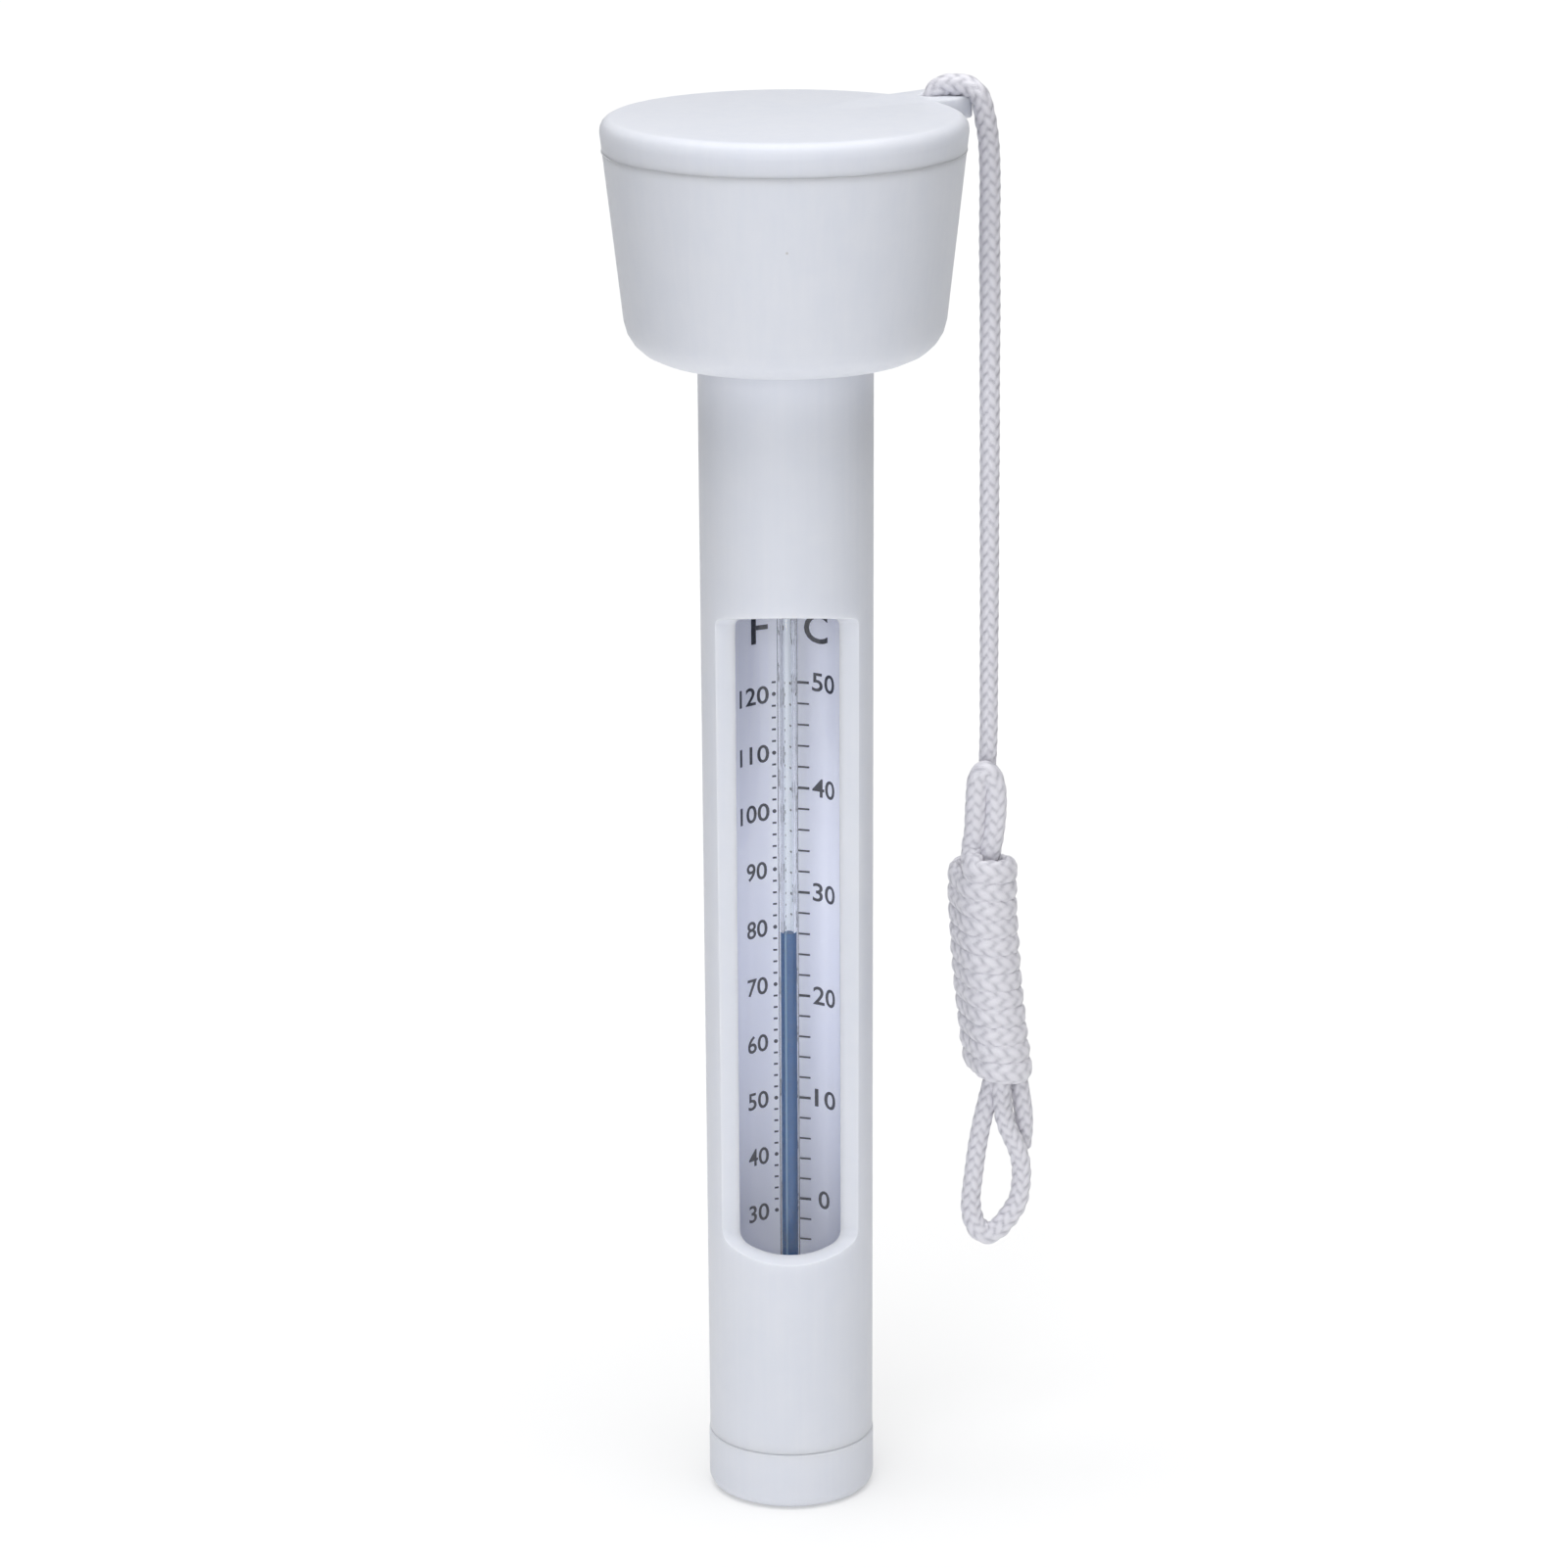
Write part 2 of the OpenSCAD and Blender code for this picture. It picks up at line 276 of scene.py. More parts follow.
hole = spun([
    (0, lug_under - 1, 0), (hole_r + 1, lug_under - 1, 0), (hole_r + 1, lug_under - 0.001, 0),
    (hole_r, lug_under + 0.001, 0.35), (hole_r, lid_top - 0.001, 0.35),
    (hole_r + 1, lid_top + 0.001, 0), (hole_r + 1, lid_top + 1, 0), (0, lid_top + 1, 0)],
    closed=False, turns=48)
bmesh.ops.translate(hole, verts=hole.verts,
                    vec=Vector((math.cos(lug_angle), math.sin(lug_angle), 0)) * hole_at * mm)
combine(lid, piece_of("hole", hole), "DIFFERENCE")
finished(lid, "float_lid_part", shell, "shell", "float_lid")


# Weld flash: a thin ragged bead of the shell plastic all round the seam, squeezed out where the
# lid was welded to the cup.
flash_in = rim_r - 0.3
flash_out = rim_r + 0.08
bead = spun([(flash_in, seam_z + 0.12, 0.02), (flash_in, seam_z - 0.12, 0.02),
             (flash_out, seam_z - 0.06, 0.02), (flash_out, seam_z + 0.06, 0.02)], turns=720)
for vert in bead.verts:
    flat = Vector((vert.co.x, vert.co.y, 0))
    if flat.length > rim_r * mm:
        rag = noise.noise(vert.co * 900) * 0.05 + noise.noise(vert.co * 260) * 0.05
        vert.co += flat.normalized() * rag * mm
        vert.co.z += noise.noise(vert.co * 500 + Vector((3, 0, 0))) * 0.06 * mm
finished(piece_of("weld_flash", bead, 60), "weld_flash", shell, "shell")


# Casing: float cup and tube moulded in one of the shell plastic, closed between them by the cup's
# floor. The window is a wedge taken out of the tube's front, with flat lands beside it and a
# sloping floor and top.
neck_z = 139.3
cup_floor = neck_z + 2
cap_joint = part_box("casing")[0].z / mm
tube_top_r = 10.15
tube_low_r = 9.85
bore_r = 8.25
cup_wall = 1.6
casing = piece_of("casing_body", spun([
    (0, neck_z - 0.3, 0), (bore_r, neck_z - 0.3, 0), (bore_r, cap_joint, 0.15),
    (tube_low_r, cap_joint, 0.2), (tube_top_r, neck_z, 0.2), (18.06, neck_z, 5),
    (rim_r, seam_z, 0.05), (rim_r - cup_wall, seam_z, 0.05), (16.63, cup_floor, 3.4),
    (0, cup_floor, 0)], closed=False, turns=88))

land_y = 5.7
window_top = 110.2
window_floor = 32.2
rise = math.tan(math.radians(16))
fall = math.tan(math.radians(25))
reach = 14
side_outline = rounded([
    (-reach, window_floor - (reach - bore_r) * fall, 0),
    (-land_y, window_floor + (bore_r - land_y) * fall, 1.6),
    (-land_y, window_top - (bore_r - land_y) * rise, 0.9),
    (-reach, window_top + (reach - bore_r) * rise, 0)], closed=False)
wedge = bmesh.new()
side = wedge.faces.new([wedge.verts.new((-reach * mm, y * mm, z * mm)) for y, z in side_outline])
swept = bmesh.ops.extrude_face_region(wedge, geom=[side])["geom"]
bmesh.ops.translate(wedge, vec=(2 * reach * mm, 0, 0),
                    verts=[v for v in swept if isinstance(v, bmesh.types.BMVert)])
bmesh.ops.recalc_face_normals(wedge, faces=wedge.faces)
combine(casing, piece_of("wedge", wedge), "DIFFERENCE")

opened = bmesh.new()
opened.from_mesh(casing.data)
bmesh.ops.remove_doubles(opened, verts=opened.verts, dist=0.002 * mm)
brims = [e for e in opened.edges if len(e.link_faces) == 2
         and e.calc_face_angle() > math.radians(25)
         and all(v.co.y < -5 * mm and 25 * mm < v.co.z < 120 * mm for v in e.verts)]
bmesh.ops.bevel(opened, geom=brims, offset=0.2 * mm, segments=3, affect="EDGES",
                profile=0.5, material=-1, clamp_overlap=True)
opened.to_mesh(casing.data)
opened.free()
casing.data.shade_smooth()
casing.data.set_sharp_from_angle(angle=math.radians(50))
finished(casing, "casing_part", shell, "shell", "casing")
evened = casing.modifiers.new("evened", "WEIGHTED_NORMAL")
evened.keep_sharp = True


# End cap: a moulded cup of the shell plastic, whose neck is pressed into the tube's end. It has
# a fine break line above it, a well for the ballast and three drain holes through its floor.
cap_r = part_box("end_cap")[1].x / mm
cap_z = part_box("end_cap")[1].z / mm
cap_neck_r = bore_r - 0.05
well_r = 6.9
well_floor = 2.2
drain_at = 6.0
drain_r = 1.0
end_cap = piece_of("cap_body", spun([
    (0, 0, 0), (cap_r, 0, 1.5), (cap_r, cap_joint, 0.3), (cap_neck_r, cap_joint, 0),
    (cap_neck_r, cap_z, 0.3), (well_r, cap_z, 0.3), (well_r, well_floor, 0.6),
    (0, well_floor, 0)], closed=False, turns=96))
for turn in (90, 210, 330):
    drain = spun([
        (0, -1, 0), (drain_r + 1, -1, 0), (drain_r + 1, -0.001, 0), (drain_r, 0.001, 0.3),
        (drain_r, well_floor - 0.001, 0.2), (drain_r + 1, well_floor + 0.001, 0),
        (drain_r + 1, 3, 0), (0, 3, 0)], closed=False, turns=40)
    bmesh.ops.translate(drain, verts=drain.verts, vec=Vector((
        math.cos(math.radians(turn)), math.sin(math.radians(turn)), 0)) * drain_at * mm)
    combine(end_cap, piece_of("drain", drain), "DIFFERENCE")
finished(end_cap, "end_cap_part", shell, "shell", "end_cap")


# Stack inside the tube: steel ballast, silicone plugs and stem holders, and a foam pad on top.
# They stay as they are packed, with their own finishes.

def plain_finish(name, first, second, roughness, scale, depth, metallic=0.0):
    """A mottled finish: two tones in clouds, with a fine grain of that scale and depth."""
    material, place = new_finish(name)
    shade = place.clouds(scale * 0.2, 4).above(0.3, 0.7)
    grain = place.clouds(scale, 3)
    lay_on(place, place.add("BsdfPrincipled", {
        "Base Color": shade.tint(first, second),
        "Roughness": roughness + 0.2 * grain,
        "Metallic": metallic,
        "Normal": grain.relief(depth)}, output="BSDF"))
    return material


steel = plain_finish("zinc_plated_steel", (0.55, 0.56, 0.57, 1), (0.42, 0.43, 0.44, 1), 0.25,
                     2500, 0.00003, 1.0)
silicone = plain_finish("white_silicone", (0.78, 0.78, 0.76, 1), (0.72, 0.72, 0.70, 1), 0.5,
                        3000, 0.00002)
foam = plain_finish("grey_foam", (0.10, 0.10, 0.10, 1), (0.20, 0.20, 0.20, 1), 0.8,
                    2500, 0.0002)
for node, finish in (("ballast_weight", steel), ("tube_plug_top", silicone),
                     ("tube_plug_bottom", silicone), ("stem_holder_top", silicone),
                     ("stem_holder_bottom", silicone), ("top_cushion", foam)):
    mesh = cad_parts[node].data
    mesh.materials.clear()
    mesh.materials.append(finish)


# Clear tube: extruded acrylic with fire-polished ends, which holds the card and the stem. Light
# goes straight through its thin wall, and it mirrors at a glancing angle.
tube_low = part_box("sight_tube")[0].z / mm
tube_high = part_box("sight_tube")[1].z / mm
sight_r = 8.0
sight_in = 7.1
clear_tube = piece_of("clear_body", spun([
    (sight_in, tube_low, 0.3), (sight_r, tube_low, 0.3), (sight_r, tube_high, 0.3),
    (sight_in, tube_high, 0.3)]), 60)


def clear_acrylic():
    material, place = new_finish("clear_acrylic")
    wipe = place.stretched(1, 1, 0.1).clouds(900, 3).above(0.45, 0.75)
    through = place.add("BsdfTransparent", {"Color": (0.985, 0.990, 0.995, 1)}, output="BSDF")
    waves = place.stretched(1, 1, 0.05).clouds(350, 1).relief(0.00002)
    mirror = place.add("BsdfGlossy", {"Color": (1, 1, 1, 1), "Roughness": 0.03 + 0.06 * wipe,
                                      "Normal": waves}, output="BSDF")
    edge = place.add("LayerWeight", {"Blend": 0.5}, output="Facing")
    share = 0.03 + 0.5 * edge.maths("POWER", edge, 5.0)
    lay_on(place, place.add("MixShader", {0: share, 1: through, 2: mirror}))
    return material


finished(clear_tube, "clear_tube_part", clear_acrylic(), "clear_tube", "sight_tube")


# Scale card: a bluish white plastic sheet rolled against the back of the clear tube, with a paler
# band behind the stem. Its faint glow stands for daylight that comes through the thin casing.
card_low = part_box("scale_card")[0].z / mm
card_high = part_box("scale_card")[1].z / mm
card_r = 6.92
card_thick = 0.25
card_half = math.radians(80)
sheet = bmesh.new()
bmesh.ops.create_grid(sheet, x_segments=64, y_segments=2, size=1.0)
for vert in sheet.verts:
    angle = vert.co.x * card_half
    height = (card_low + card_high) / 2 + vert.co.y * (card_high - card_low) / 2
    vert.co = Vector((card_r * math.sin(angle), card_r * math.cos(angle), height)) * mm
bmesh.ops.recalc_face_normals(sheet, faces=sheet.faces)
if sum(f.normal.dot(f.calc_center_median() * Vector((1, 1, 0))) for f in sheet.faces) > 0:
    bmesh.ops.reverse_faces(sheet, faces=sheet.faces)
card = piece_of("card_sheet", sheet, 60)
thick = card.modifiers.new("thick", "SOLIDIFY")
thick.thickness = card_thick * mm
thick.offset = 0


def card_plastic():
    material, place = new_finish("card_plastic")
    shade = place.clouds(120, 3).above(0.3, 0.7)
    fibre = place.clouds(4000, 3)
    sideways = place.add("SeparateXYZ", {"Vector": place})
    band = 1 - sideways.maths("ABSOLUTE", sideways).above(0.0019, 0.0025)
    plastic = shade.tint((0.84, 0.85, 0.95, 1), (0.87, 0.88, 0.97, 1))
    lay_on(place, place.add("BsdfPrincipled", {
        "Base Color": (band * 0.6).tint(plastic, (0.90, 0.91, 0.96, 1)),
        # Painted light: the card glows faintly, standing for daylight that comes through the thin
        # casing.
        "Emission Color": (0.78, 0.81, 1.0, 1),
        "Emission Strength": 0.15,
        "Roughness": 0.42 + 0.15 * fibre,
        "Normal": fibre.relief(0.00001)}, output="BSDF"))
    return material


finished(card, "scale_card_part", card_plastic(), "card", "scale_card")


# Print on the card: Celsius ticks with their numbers on the right, Fahrenheit dots with theirs
# on the left, in one thin layer of slate ink that follows the card. Sizes are in millimetres,
# from the tube's axis and up the card.
print_r = card_r - card_thick / 2
ink_lift = 0.012
ink_thick = 0.016
celsius_zero = 33.77
celsius_step = 1.2984
fahrenheit_zero = 10.66
fahrenheit_step = 0.7218
ink = bmesh.new()


def arc_of(x):
    """Distance along the rolled card of a place x beside the axis."""
    return print_r * math.asin(x / print_r)


def wrap_on(verts, arc, z):
    """Lays a flat mark on the card, with its middle at that place."""
    for vert in verts:
        angle = (arc + vert.co.x) / print_r
        out = print_r - ink_lift - vert.co.z
        vert.co = Vector((out * math.sin(angle), out * math.cos(angle), z + vert.co.y)) * mm


def bar(left, right, z, height):
    """A short printed tick, laid flat against the card."""
    made = bmesh.ops.create_cube(ink, size=1.0)["verts"]
    bmesh.ops.scale(ink, vec=(arc_of(right) - arc_of(left), height, ink_thick), verts=made)
    wrap_on(made, (arc_of(left) + arc_of(right)) / 2, z)


def dot(x, z, size):
    """A printed round dot."""
    made = bmesh.ops.create_cone(ink, cap_ends=True, segments=16, radius1=size / 2,
                                 radius2=size / 2, depth=ink_thick)["verts"]
    wrap_on(made, arc_of(x), z)


def number(text, left, right, z, height):
    """Printed characters of that height, filling the room from left to right of the axis."""
    curve = bpy.data.curves.new("number", "FONT")
    curve.body = text
    curve.size = 1.0
    curve.extrude = 0.004
    curve.offset = 0.011
    curve.resolution_u = 4
    glyph = bpy.data.objects.new("number", curve)
    scene.collection.objects.link(glyph)
    bpy.context.view_layer.update()
    flat = bpy.data.meshes.new_from_object(
        glyph.evaluated_get(bpy.context.evaluated_depsgraph_get()))
    bpy.data.objects.remove(glyph)
    lows = Vector(min(v.co[k] for v in flat.vertices) for k in range(3))
    highs = Vector(max(v.co[k] for v in flat.vertices) for k in range(3))
    middle = (lows + highs) / 2
    wide = (arc_of(right) - arc_of(left)) / (highs.x - lows.x)
    tall = height / (highs.y - lows.y)
    before = len(ink.verts)
    ink.from_mesh(flat)
    bpy.data.meshes.remove(flat)
    ink.verts.ensure_lookup_table()
    made = ink.verts[before:]
    for vert in made:
        vert.co = Vector(((vert.co.x - middle.x) * wide, (vert.co.y - middle.y) * tall,
                          vert.co.z * 2))
    wrap_on(made, (arc_of(left) + arc_of(right)) / 2, z)


letter_z = 105.45
letter_high = 3.7
celsius_high = 2.3
celsius_lift = 0.2
fahrenheit_high = 2.2
for degree in range(-4, 51, 2):
    level = celsius_zero + celsius_step * degree
    bar(1.10, 2.56, level, 0.32 if degree % 10 == 0 else 0.22)
number("0", 3.45, 4.78, celsius_zero + celsius_lift, celsius_high)
for degree in range(10, 51, 10):
    level = celsius_zero + celsius_step * degree + celsius_lift
    number(str(degree), 3.06 if degree == 10 else 2.91, 5.50, level, celsius_high)
for degree in range(30, 123, 2):
    level = fahrenheit_zero + fahrenheit_step * degree
    if degree % 10 == 0:
        dot(-1.61, level, 0.50)
    else:
        bar(-1.86, -1.38, level, 0.24)
for degree in range(30, 121, 10):
    level = fahrenheit_zero + fahrenheit_step * degree
    left, right = (-5.62, -2.20) if degree > 99 else (-4.94, -2.54)
    number(str(degree), left, right, level, fahrenheit_high)
number("F", -4.23, -2.27, letter_z, letter_high)
number("C", 2.00, 4.76, letter_z, letter_high)
bmesh.ops.remove_doubles(ink, verts=ink.verts, dist=0.0005 * mm)
bmesh.ops.recalc_face_normals(ink, faces=ink.faces)


def slate_ink():
    material, place = new_finish("slate_ink")
    thin = place.clouds(3000, 3).above(0.35, 0.75)
    lay_on(place, place.add("BsdfPrincipled", {
        "Base Color": (thin * 0.6).tint((0.025, 0.028, 0.045, 1), (0.055, 0.06, 0.085, 1)),
        "Roughness": 0.35 + 0.2 * thin,
        "Normal": thin.relief(0.000008)}, output="BSDF"))
    return material


finished(piece_of("ink", ink, 40), "scale_print", slate_ink(), "card")


# Glass stem: a drawn capillary tube with a blown bulb at its foot, sealed at the top. Two soft
# discs hold it on the axis of the clear tube.
stem_r = 1.2
stem_bore = 0.62
stem_wall = 0.6
bulb_r = 5.0
stem_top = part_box("stem_glass")[1].z / mm
bulb_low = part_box("stem_glass")[0].z / mm
bulb_top = 22.0
bore_top = stem_top - 2.4
stem_mesh = spun([
    (0, bulb_low, 0), (bulb_r, bulb_low, 2), (bulb_r, bulb_top, 2), (stem_r, bulb_top, 0.5),
    (stem_r, stem_top, 1.15), (0, stem_top, 0)], closed=False, turns=64)
hollow = spun([
    (0, bulb_low + stem_wall, 0), (bulb_r - 1, bulb_low + stem_wall, 0.3),
    (bulb_r - 1, bulb_top - stem_wall, 0.3), (stem_bore, bulb_top - stem_wall, 0.05),
    (stem_bore, bore_top, 0.5), (0, bore_top, 0)], closed=False, turns=48)
bmesh.ops.reverse_faces(hollow, faces=hollow.faces)
core = bpy.data.meshes.new("core")
hollow.to_mesh(core)
hollow.free()
stem_mesh.from_mesh(core)
bpy.data.meshes.remove(core)
stem = piece_of("stem_body", stem_mesh, 60)


def stem_glass():
    material, place = new_finish("stem_glass")
    waves = place.stretched(1, 1, 0.04).clouds(1200, 1).relief(0.000004)
    smear = place.clouds(1500, 3).above(0.5, 0.8)
    lay_on(place, place.add("BsdfPrincipled", {
        "Base Color": (0.96, 0.98, 0.98, 1),
        "Roughness": 0.02 + 0.04 * smear,
        "IOR": 1.48,
        "Transmission Weight": 1.0,
        "Normal": waves}, output="BSDF"))
    return material


finished(stem, "stem_glass_part", stem_glass(), "stem", "stem_glass")


# Spirit: blue-dyed alcohol that fills the bulb and the bore. The thread stretches between the
# bulb and its tip, which has a shallow meniscus and moves with the temperature.

def blue_spirit():
    material, place = new_finish("blue_spirit")
    swirl = place.clouds(1500, 2).above(0.3, 0.7)
    sideways = place.add("SeparateXYZ", {"Vector": place})
    # Painted highlight: a pale blue streak down the left side of the thread stands for a lamp's
    # reflection on the column.
    painted_highlight = sideways.above(-0.00044, -0.00038) - sideways.above(-0.00025, -0.00019)
    blue = swirl.tint((0.020, 0.150, 0.44, 1), (0.028, 0.17, 0.47, 1))
    lay_on(place, place.add("BsdfPrincipled", {
        "Base Color": (painted_highlight * 0.7).tint(blue, (0.38, 0.60, 0.80, 1)),
        "Roughness": 0.12 + 0.06 * swirl,
        "Specular IOR Level": 0.15,
        "IOR": 1.36,
        "Normal": swirl.relief(0.000004)}, output="BSDF"))
    return material


spirit = blue_spirit()
thread_r = 0.635
thread_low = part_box("spirit_column")[0].z / mm
tip_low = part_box("spirit_tip")[0].z / mm
tip_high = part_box("spirit_tip")[1].z / mm
thread = piece_of("spirit_thread", spun([
    (0, thread_low, 0), (thread_r, thread_low, 0), (thread_r, tip_low, 0), (0, tip_low, 0)],
    closed=False, turns=40))
thread.data.materials.append(spirit)
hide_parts("spirit_column")
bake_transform(thread)

tip = piece_of("spirit_tip_part", spun([
    (0, tip_low, 0), (thread_r, tip_low, 0), (thread_r, tip_high + 0.08, 0.02),
    (0.45, tip_high - 0.08, 0.2), (0, tip_high - 0.14, 0)], closed=False, turns=40))
tip.data.materials.append(spirit)
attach(tip, "spirit")
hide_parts("spirit_tip")
bulb_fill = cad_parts["bulb_spirit"].data
bulb_fill.materials.clear()
bulb_fill.materials.append(spirit)


# Lanyard: one length of white plaited nylon cord. It starts in a stopper knot under the lug,
# comes up through the hole, hangs down, runs through the hank, makes the loop, comes back up
# beside itself, folds over and winds down round both runs. Its sealed end is tucked in below.
cord_r = 1.2
cord_step = 0.19 * mm
strands = 4
stitch = 1.56


def mm_points(points):
    """Places in metres from points in millimetres."""
    return [Vector(p) * mm for p in points]


def smooth_route(points, step):
    """Evenly spaced places on one smooth curve through the points."""
    ends = [2 * points[0] - points[1]] + points + [2 * points[-1] - points[-2]]
    fine = [points[0]]
    for a, b, c, d in zip(ends, ends[1:], ends[2:], ends[3:]):
        p, q, r = (math.sqrt((y - x).length) for x, y in ((a, b), (b, c), (c, d)))
        m = ((b - a) / p - (c - a) / (p + q) + (c - b) / q) * q
        n = ((c - b) / q - (d - b) / (q + r) + (d - c) / r) * q
        for k in range(1, 17):
            t = k / 16
            fine.append(b * (2 * t**3 - 3 * t**2 + 1) + m * (t**3 - 2 * t**2 + t)
                        + c * (3 * t**2 - 2 * t**3) + n * (t**3 - t**2))
    route = [fine[0]]
    walked = 0.0
    for a, b in zip(fine, fine[1:]):
        length = (b - a).length
        while walked + length >= step:
            a = a.lerp(b, (step - walked) / length)
            length = (b - a).length
            walked = 0.0
            route.append(a)
        walked += length
    return route


def plait(around, along):
    """Height of the plaited surface: 0 in its grooves, 1 on the crown of a strand."""
    u = strands * around + along / (stitch * mm)
    v = strands * around - along / (stitch * mm)
    crossing = math.cos(math.pi * (u + v))
    right = math.cos(math.pi * (u - round(u))) * (0.5 + 0.5 * crossing)
    left = math.cos(math.pi * (v - round(v))) * (0.5 - 0.5 * crossing)
    return max(right, left) ** 0.7


def cord_mesh(name, route, radius, sides, shape=None):
    """A plaited tube along a route. shape gives, at a step, how far the cord is pressed flat,
    in which direction, how deep its plait is, and how thick it is."""
    verts = []
    crowns = []
    tangent = (route[1] - route[0]).normalized()
    across = tangent.orthogonal().normalized()
    step = (route[1] - route[0]).length
    last = len(route) - 1
    for i, place in enumerate(route):
        heading = (route[min(i + 1, last)] - route[max(i - 1, 0)]).normalized()
        across = (across - heading * across.dot(heading)).normalized()
        beside = heading.cross(across)
        pressed, toward, depth, swell = shape(i, place) if shape else (1, None, 1, 1)
        beyond = heading.cross(toward).normalized() if toward is not None else None
        from_end = min(1.0, 2 * min(i, last - i) * step / radius)
        girth = radius * swell * (0.25 + 0.75 * math.sqrt(1 - (1 - from_end) ** 2))
        for k in range(sides):
            around = k / sides
            crown = plait(around, i * step)
            r = girth * (0.86 + 0.2 * crown * depth + 0.08 * (1 - depth))
            turn = 2 * math.pi * around
            off = r * (across * math.cos(turn) + beside * math.sin(turn))
            if toward is not None:
                off -= toward * off.dot(toward) * (1 - pressed)
                off += beyond * off.dot(beyond) * (1 / pressed - 1)
            verts.append(place + off)
            crowns.append(crown)
    faces = []
    for i in range(last):
        for k in range(sides):
            a = i * sides + k
            b = i * sides + (k + 1) % sides
            faces.append((a, b, b + sides, a + sides))
    faces.append(tuple(range(sides - 1, -1, -1)))
    faces.append(tuple(range(last * sides, (last + 1) * sides)))
    mesh = bpy.data.meshes.new(name)
    mesh.from_pydata(verts, [], faces)
    mesh.attributes.new("crown", "FLOAT", "POINT").data.foreach_set("value", crowns)
    layer = mesh.uv_layers.new(name="along_cord")
    for polygon in mesh.polygons[:-2]:
        wrapped = [mesh.loops[j].vertex_index % sides for j in polygon.loop_indices]
        seam = 0 in wrapped and sides - 1 in wrapped
        for j, w in zip(polygon.loop_indices, wrapped):
            row = mesh.loops[j].vertex_index // sides
            layer.data[j].uv = ((sides if seam and w == 0 else w) / sides, row * step)
    mesh.shade_smooth()
    piece = bpy.data.objects.new(name, mesh)
    scene.collection.objects.link(piece)
    return piece


def plaited_nylon():
    material, place = new_finish("plaited_nylon")
    crown = place.add("Attribute", {}, {"attribute_name": "crown"}, "Fac")
    both = place.add("SeparateXYZ", {"Vector": place.add("UVMap", {}, {"uv_map": "along_cord"})})
    around = both
    along = Wire(both.tree, both.socket.node.outputs[1])
    u = around * strands + along * (1 / (stitch * mm))
    v = around * strands - along * (1 / (stitch * mm))
    leaning = around.maths("COSINE", around * (2 * math.pi * strands))
    on_top = leaning.above(-0.15, 0.15)
    threads = on_top * u.maths("SINE", u * 44) + (1 - on_top) * v.maths("SINE", v * 44)
    fuzz = place.clouds(6000, 3)
    # Painted shade: the colour is darker in the grooves between the strands than on their crowns;
    # the fuzz and thread lines add the cord's real mottling.
    plait_shade = (crown * 0.8 + fuzz * 0.4 + threads * 0.06).above(0.15, 0.95)
    lay_on(place, place.add("BsdfPrincipled", {
        "Base Color": plait_shade.tint((0.45, 0.445, 0.50, 1), (0.755, 0.745, 0.80, 1)),
        "Roughness": 0.55 - 0.2 * crown,
        "Sheen Weight": 0.15,
        "Specular IOR Level": 0.6,
        "Normal": (threads * 0.3 + fuzz).relief(0.00003)}, output="BSDF"))
    return material


nylon = plaited_nylon()
run_points = mm_points([
    (17.2, 15, 164.2), (17.2, 15, 166), (17.6, 14.9, 167.3), (18.6, 14.7, 168.05),
    (19.9, 14.4, 168.2), (21.2, 14, 168.1), (22.25, 13.65, 167.55), (22.85, 13.5, 166.6),
    (23.15, 13.45, 165.3), (23.45, 13.45, 163.7), (23.7, 13.5, 162), (23.9, 13.5, 158),
    (23.9, 13.5, 150), (24, 13.5, 142), (24, 13.5, 134), (24.05, 13.5, 126), (24.05, 13.5, 118),
    (24.1, 13.5, 110), (24.1, 13.5, 102), (24.1, 13.5, 95), (24.1, 13.6, 90), (23.9, 13.9, 85),
    (23.5, 14.1, 80), (23.1, 14.1, 75.6)])
loop_points = mm_points([
    (24.9, 13.6, 47.2), (24.2, 13.2, 44.1), (23.5, 13, 41.1), (22.9, 12.9, 37.6),
    (22.5, 12.8, 34.3), (22.2, 12.8, 31.2), (22.4, 12.8, 29.1), (23.1, 12.8, 27.5),
    (24.2, 12.8, 26.8), (25.4, 12.8, 27.3), (26.4, 12.8, 28.4), (27.3, 12.8, 29.7),
    (28, 12.8, 31.1), (28.3, 12.8, 32.8), (28.4, 12.8, 34.3), (28.3, 12.7, 36),
    (27.9, 12.6, 37.7), (27.2, 12.5, 39.4), (26.5, 12.4, 41.1), (26.1, 12.3, 43),
    (25.9, 12.1, 45.4), (25.8, 11.9, 47.4)])
bight_points = mm_points([
    (24.2, 11.7, 75.6), (24.6, 11.5, 78), (24.9, 11.4, 81), (24.9, 11.3, 83.6), (24.6, 11.3, 85.2),
    (24.1, 11.3, 86.1), (23.5, 11.3, 86.3), (23, 11.3, 85.8), (22.7, 11.3, 84.8),
    (22.6, 11.3, 83.4), (22.5, 11.4, 81), (22.4, 11.6, 78.4), (22.1, 11.8, 76.4)])
tail_points = mm_points([
    (28, 14.2, 46.8), (28.3, 14.2, 44.4), (28.6, 14.3, 42.3), (28.7, 14.6, 40.3),
    (28.6, 15, 38.4), (28.4, 15.2, 36.8)])
hank_turn = math.radians(25)
hank_x = Vector((math.cos(hank_turn), math.sin(hank_turn), 0))
hank_y = Vector((-math.sin(hank_turn), math.cos(hank_turn), 0))
hank_high = 75.6
hank_low = 47.4
wind_r = 2.75
wind_high = 74.6
wind_pitch = 2.28
wind_turns = 11.4


def hank_middle(z):
    """Middle of the hank at a height, in millimetres."""
    return Vector((23.4 + 2.1 * max(0, (72 - z) / 24) ** 1.6, 13, z))


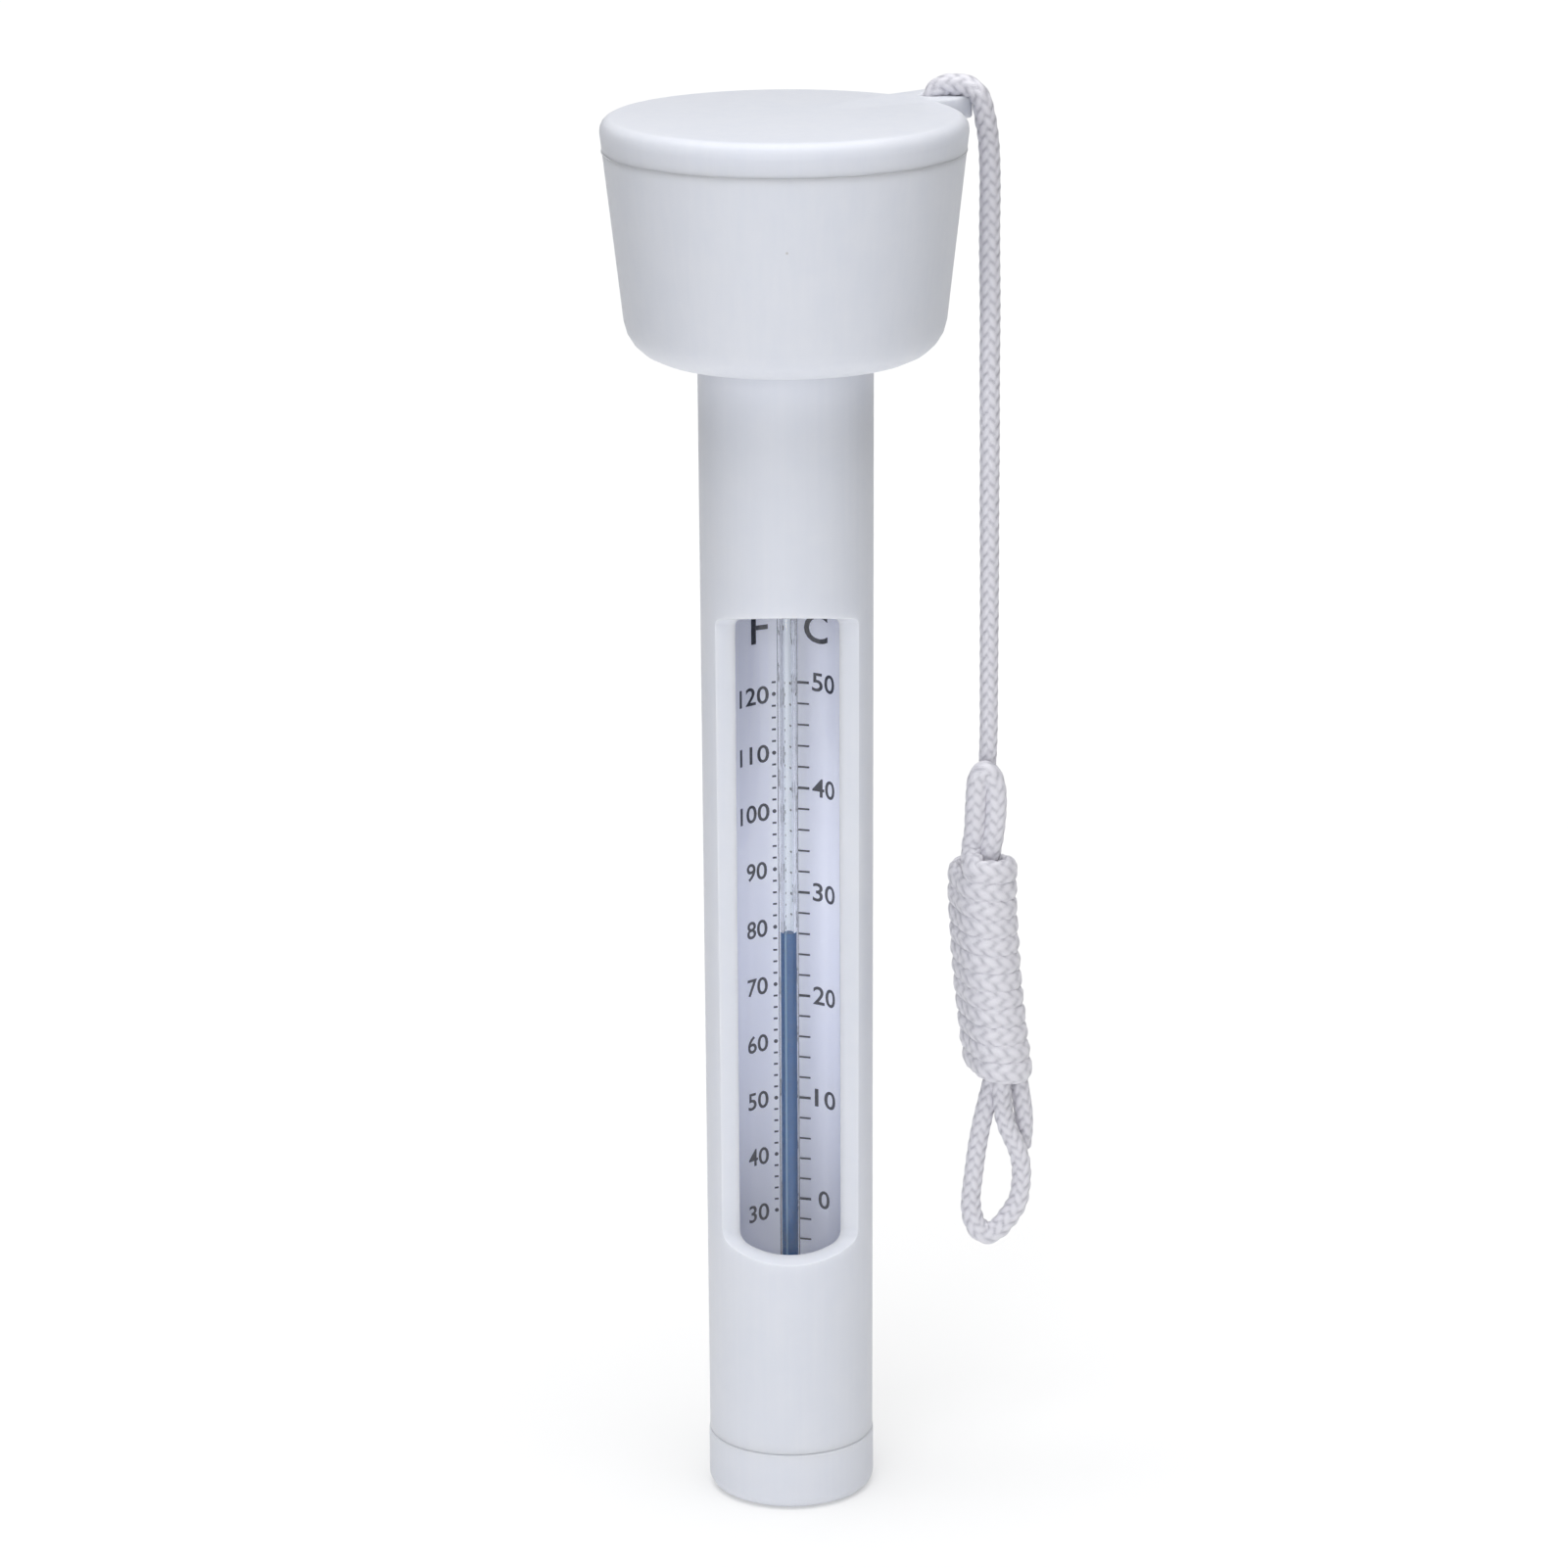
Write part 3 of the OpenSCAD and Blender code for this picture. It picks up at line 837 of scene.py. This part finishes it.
def round_hank(turn):
    """Offset from the hank's middle, once round it from the left by the front to the right."""
    half = math.pi * wind_r
    whole = 2 * half + 4 * cord_r
    s = (turn % 1) * whole
    if s < cord_r:
        return hank_x * -wind_r - hank_y * s
    if s < cord_r + half:
        a = math.pi + (s - cord_r) / wind_r
        return hank_x * (wind_r * math.cos(a)) + hank_y * (wind_r * math.sin(a) - cord_r)
    if s < 3 * cord_r + half:
        return hank_x * wind_r + hank_y * (s - half - 2 * cord_r)
    if s < 3 * cord_r + 2 * half:
        a = (s - 3 * cord_r - half) / wind_r
        return hank_x * (wind_r * math.cos(a)) + hank_y * (wind_r * math.sin(a) + cord_r)
    return hank_x * -wind_r + hank_y * (whole - s)


core_heights = [hank_high - 3 - k * (hank_high - hank_low - 5) / 8 for k in range(9)]
core_down = [(hank_middle(z) + hank_y * cord_r) * mm for z in core_heights]
core_up = [(hank_middle(z) - hank_y * cord_r) * mm for z in reversed(core_heights)]
winding = []
for k in range(2, int(wind_turns * 16) + 1):
    turn = k / 16
    z = wind_high - wind_pitch * turn
    slack = 1 + 0.03 * noise.noise(Vector((turn * 1.7, 0, 0)))
    winding.append((hank_middle(z) + round_hank(turn) * slack
                    + Vector((0, 0, 0.12 * noise.noise(Vector((turn * 2.3, 5, 0)))))) * mm)
knot_at = Vector((17.66, 15.4, 161.7)) * mm
cord_route = smooth_route(
    [knot_at + Vector((0, 0, 0.8 * mm))] + run_points + core_down + loop_points + core_up
    + bight_points + winding + tail_points, cord_step)


def cord_shape(i, place):
    """Pressed flat against the core in the winding and over the lug, swollen in the loop's bend,
    with a softer plait in the fold, and drawn thinner by its own weight lower down the run."""
    slim = 0.97
    x, y, z = place / mm
    out = place / mm - hank_middle(z)
    out.z = 0
    if 47.6 < z < 75.4 and out.length > 2.2:
        return 0.76, out.normalized(), 0.8, 1.0
    if 75.4 <= z < 88 and y < 12.3:
        return 0.9, Vector((0, 1, 0)), 0.5, 1.0
    if z > 163.5:
        corner = max(0, 1 - abs(x - 22.4) / 1.2)
        return 1 - 0.12 * corner, Vector((x - 20.5, 0, z - 165)).normalized(), 1.0, 1.06
    if z > 76:
        return 1, None, 1.0, 0.86 + 0.16 * min(1, (z - 76) / 70)
    if z < 32:
        bend = 1 + 0.22 * (32 - z) / 5.2
        return bend, Vector((x - 25.2, 0, z - 32)).normalized(), 1.0, slim
    return 1, None, 1.0, slim


lanyard = cord_mesh("lanyard_cord", cord_route, cord_r * mm, 32, cord_shape)
lanyard.data.materials.append(nylon)
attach(lanyard, "float")
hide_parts("cord_run", "cord_bight", "cord_hank", "cord_loop", "cord_tail")


# Stopper knot: the lanyard's own end, tied in an overhand knot and pulled tight under the lug,
# with its cut end melted over.
knot_r = 0.62
knot_cord_r = 0.92
knot_points = [knot_at + Vector((0, 0, 2 * mm))]
for k in range(25):
    t = math.radians(30 + 300 * k / 24)
    knot_points.append(knot_at + Vector((
        (math.sin(t) + 2 * math.sin(2 * t)) * knot_r, (math.cos(t) - 2 * math.cos(2 * t)) * knot_r,
        -math.sin(3 * t))) * mm)
knot_points.append(knot_at + Vector((1.2, 1.2, -2.6)) * mm)
knot = cord_mesh("lanyard_knot", smooth_route(knot_points, cord_step), knot_cord_r * mm, 28)
knot.data.materials.append(nylon)
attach(knot, "float")
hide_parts("cord_knot")
cord_route[:-1:3] + cord_route[-1:]


# Floor: a wide sheet of white board, lit from below as well, so that it stays white up to the
# horizon and the object's shadow on it is faint.
floor_mesh = bmesh.new()
bmesh.ops.create_grid(floor_mesh, x_segments=1, y_segments=1, size=20)
floor = piece_of("floor", floor_mesh)
white_floor, spot = new_finish("white_floor")
haze = spot.clouds(3, 2)
lay_on(spot, spot.add("BsdfPrincipled", {
    "Base Color": haze.tint((0.61, 0.61, 0.61, 1), (0.62, 0.62, 0.62, 1)),
    "Roughness": 0.9,
    "Emission Color": (1, 1, 1, 1),
    "Emission Strength": 0.29,
    "Specular IOR Level": 0.0}, output="BSDF"))
floor.data.materials.append(white_floor)


# Light: a broad overhead lamp, a soft lamp beside the camera and a little light from all round.
world = bpy.data.worlds.new("studio")
world.use_nodes = True
world.node_tree.nodes["Background"].inputs["Color"].default_value = (0.97, 0.98, 1, 1)
world.node_tree.nodes["Background"].inputs["Strength"].default_value = 0.14
scene.world = world


def lamp(name, kind, place, aim, power, **settings):
    """A lamp at a place, aimed at a point; no camera sees it."""
    light = bpy.data.lights.new(name, kind)
    light.energy = power
    for key, value in settings.items():
        setattr(light, key, value)
    holder = bpy.data.objects.new(name, light)
    holder.location = place
    holder.rotation_euler = (Vector(aim) - Vector(place)).to_track_quat("-Z", "Y").to_euler()
    holder.visible_camera = False
    scene.collection.objects.link(holder)


lamp("overhead", "SUN", (0, 0, 1), (0, 0.05, 0), 3.3, angle=math.radians(70))
lamp("front", "AREA", (-0.24, -0.97, 0.30), (0, 0, 0.09), 3.6, shape="RECTANGLE",
     size=0.5, size_y=0.6, color=(0.98, 0.99, 1))


# Flags: two sheets of black card that stand out of view beside the object and darken its sides.
black_card, spot = new_finish("black_card")
lay_on(spot, spot.add("BsdfPrincipled", {
    "Base Color": spot.clouds(200, 3).tint((0.02, 0.02, 0.02, 1), (0.03, 0.03, 0.03, 1)),
    "Roughness": 0.9}, output="BSDF"))
for beside in (-0.26, 0.36):
    flag_mesh = bmesh.new()
    bmesh.ops.create_grid(flag_mesh, x_segments=1, y_segments=1, size=0.5)
    bmesh.ops.scale(flag_mesh, vec=(0.4, 0.5, 1), verts=flag_mesh.verts)
    bmesh.ops.rotate(flag_mesh, cent=(0, 0, 0), verts=flag_mesh.verts,
                     matrix=Matrix.Rotation(math.radians(90), 3, "Y"))
    bmesh.ops.translate(flag_mesh, verts=flag_mesh.verts, vec=(beside, 0, 0.21))
    flag = piece_of("flag", flag_mesh)
    flag.data.materials.append(black_card)
    flag.visible_camera = False
    flag.visible_shadow = False


# Camera: a long lens in front of the object and above its lid, looking down a little.
lens = bpy.data.cameras.new("camera")
lens.lens = 121.31
lens.sensor_width = 36
lens.clip_start = 0.02
camera = bpy.data.objects.new("camera", lens)
camera.matrix_world = (Matrix.Translation((-0.0004547, -0.596697, 0.259603))
                       @ Matrix.Rotation(math.radians(90 - 16.037), 4, "X")
                       @ Matrix.Rotation(math.radians(-0.3194), 4, "Z"))
scene.collection.objects.link(camera)
scene.camera = camera
scene.view_settings.view_transform = "Standard"
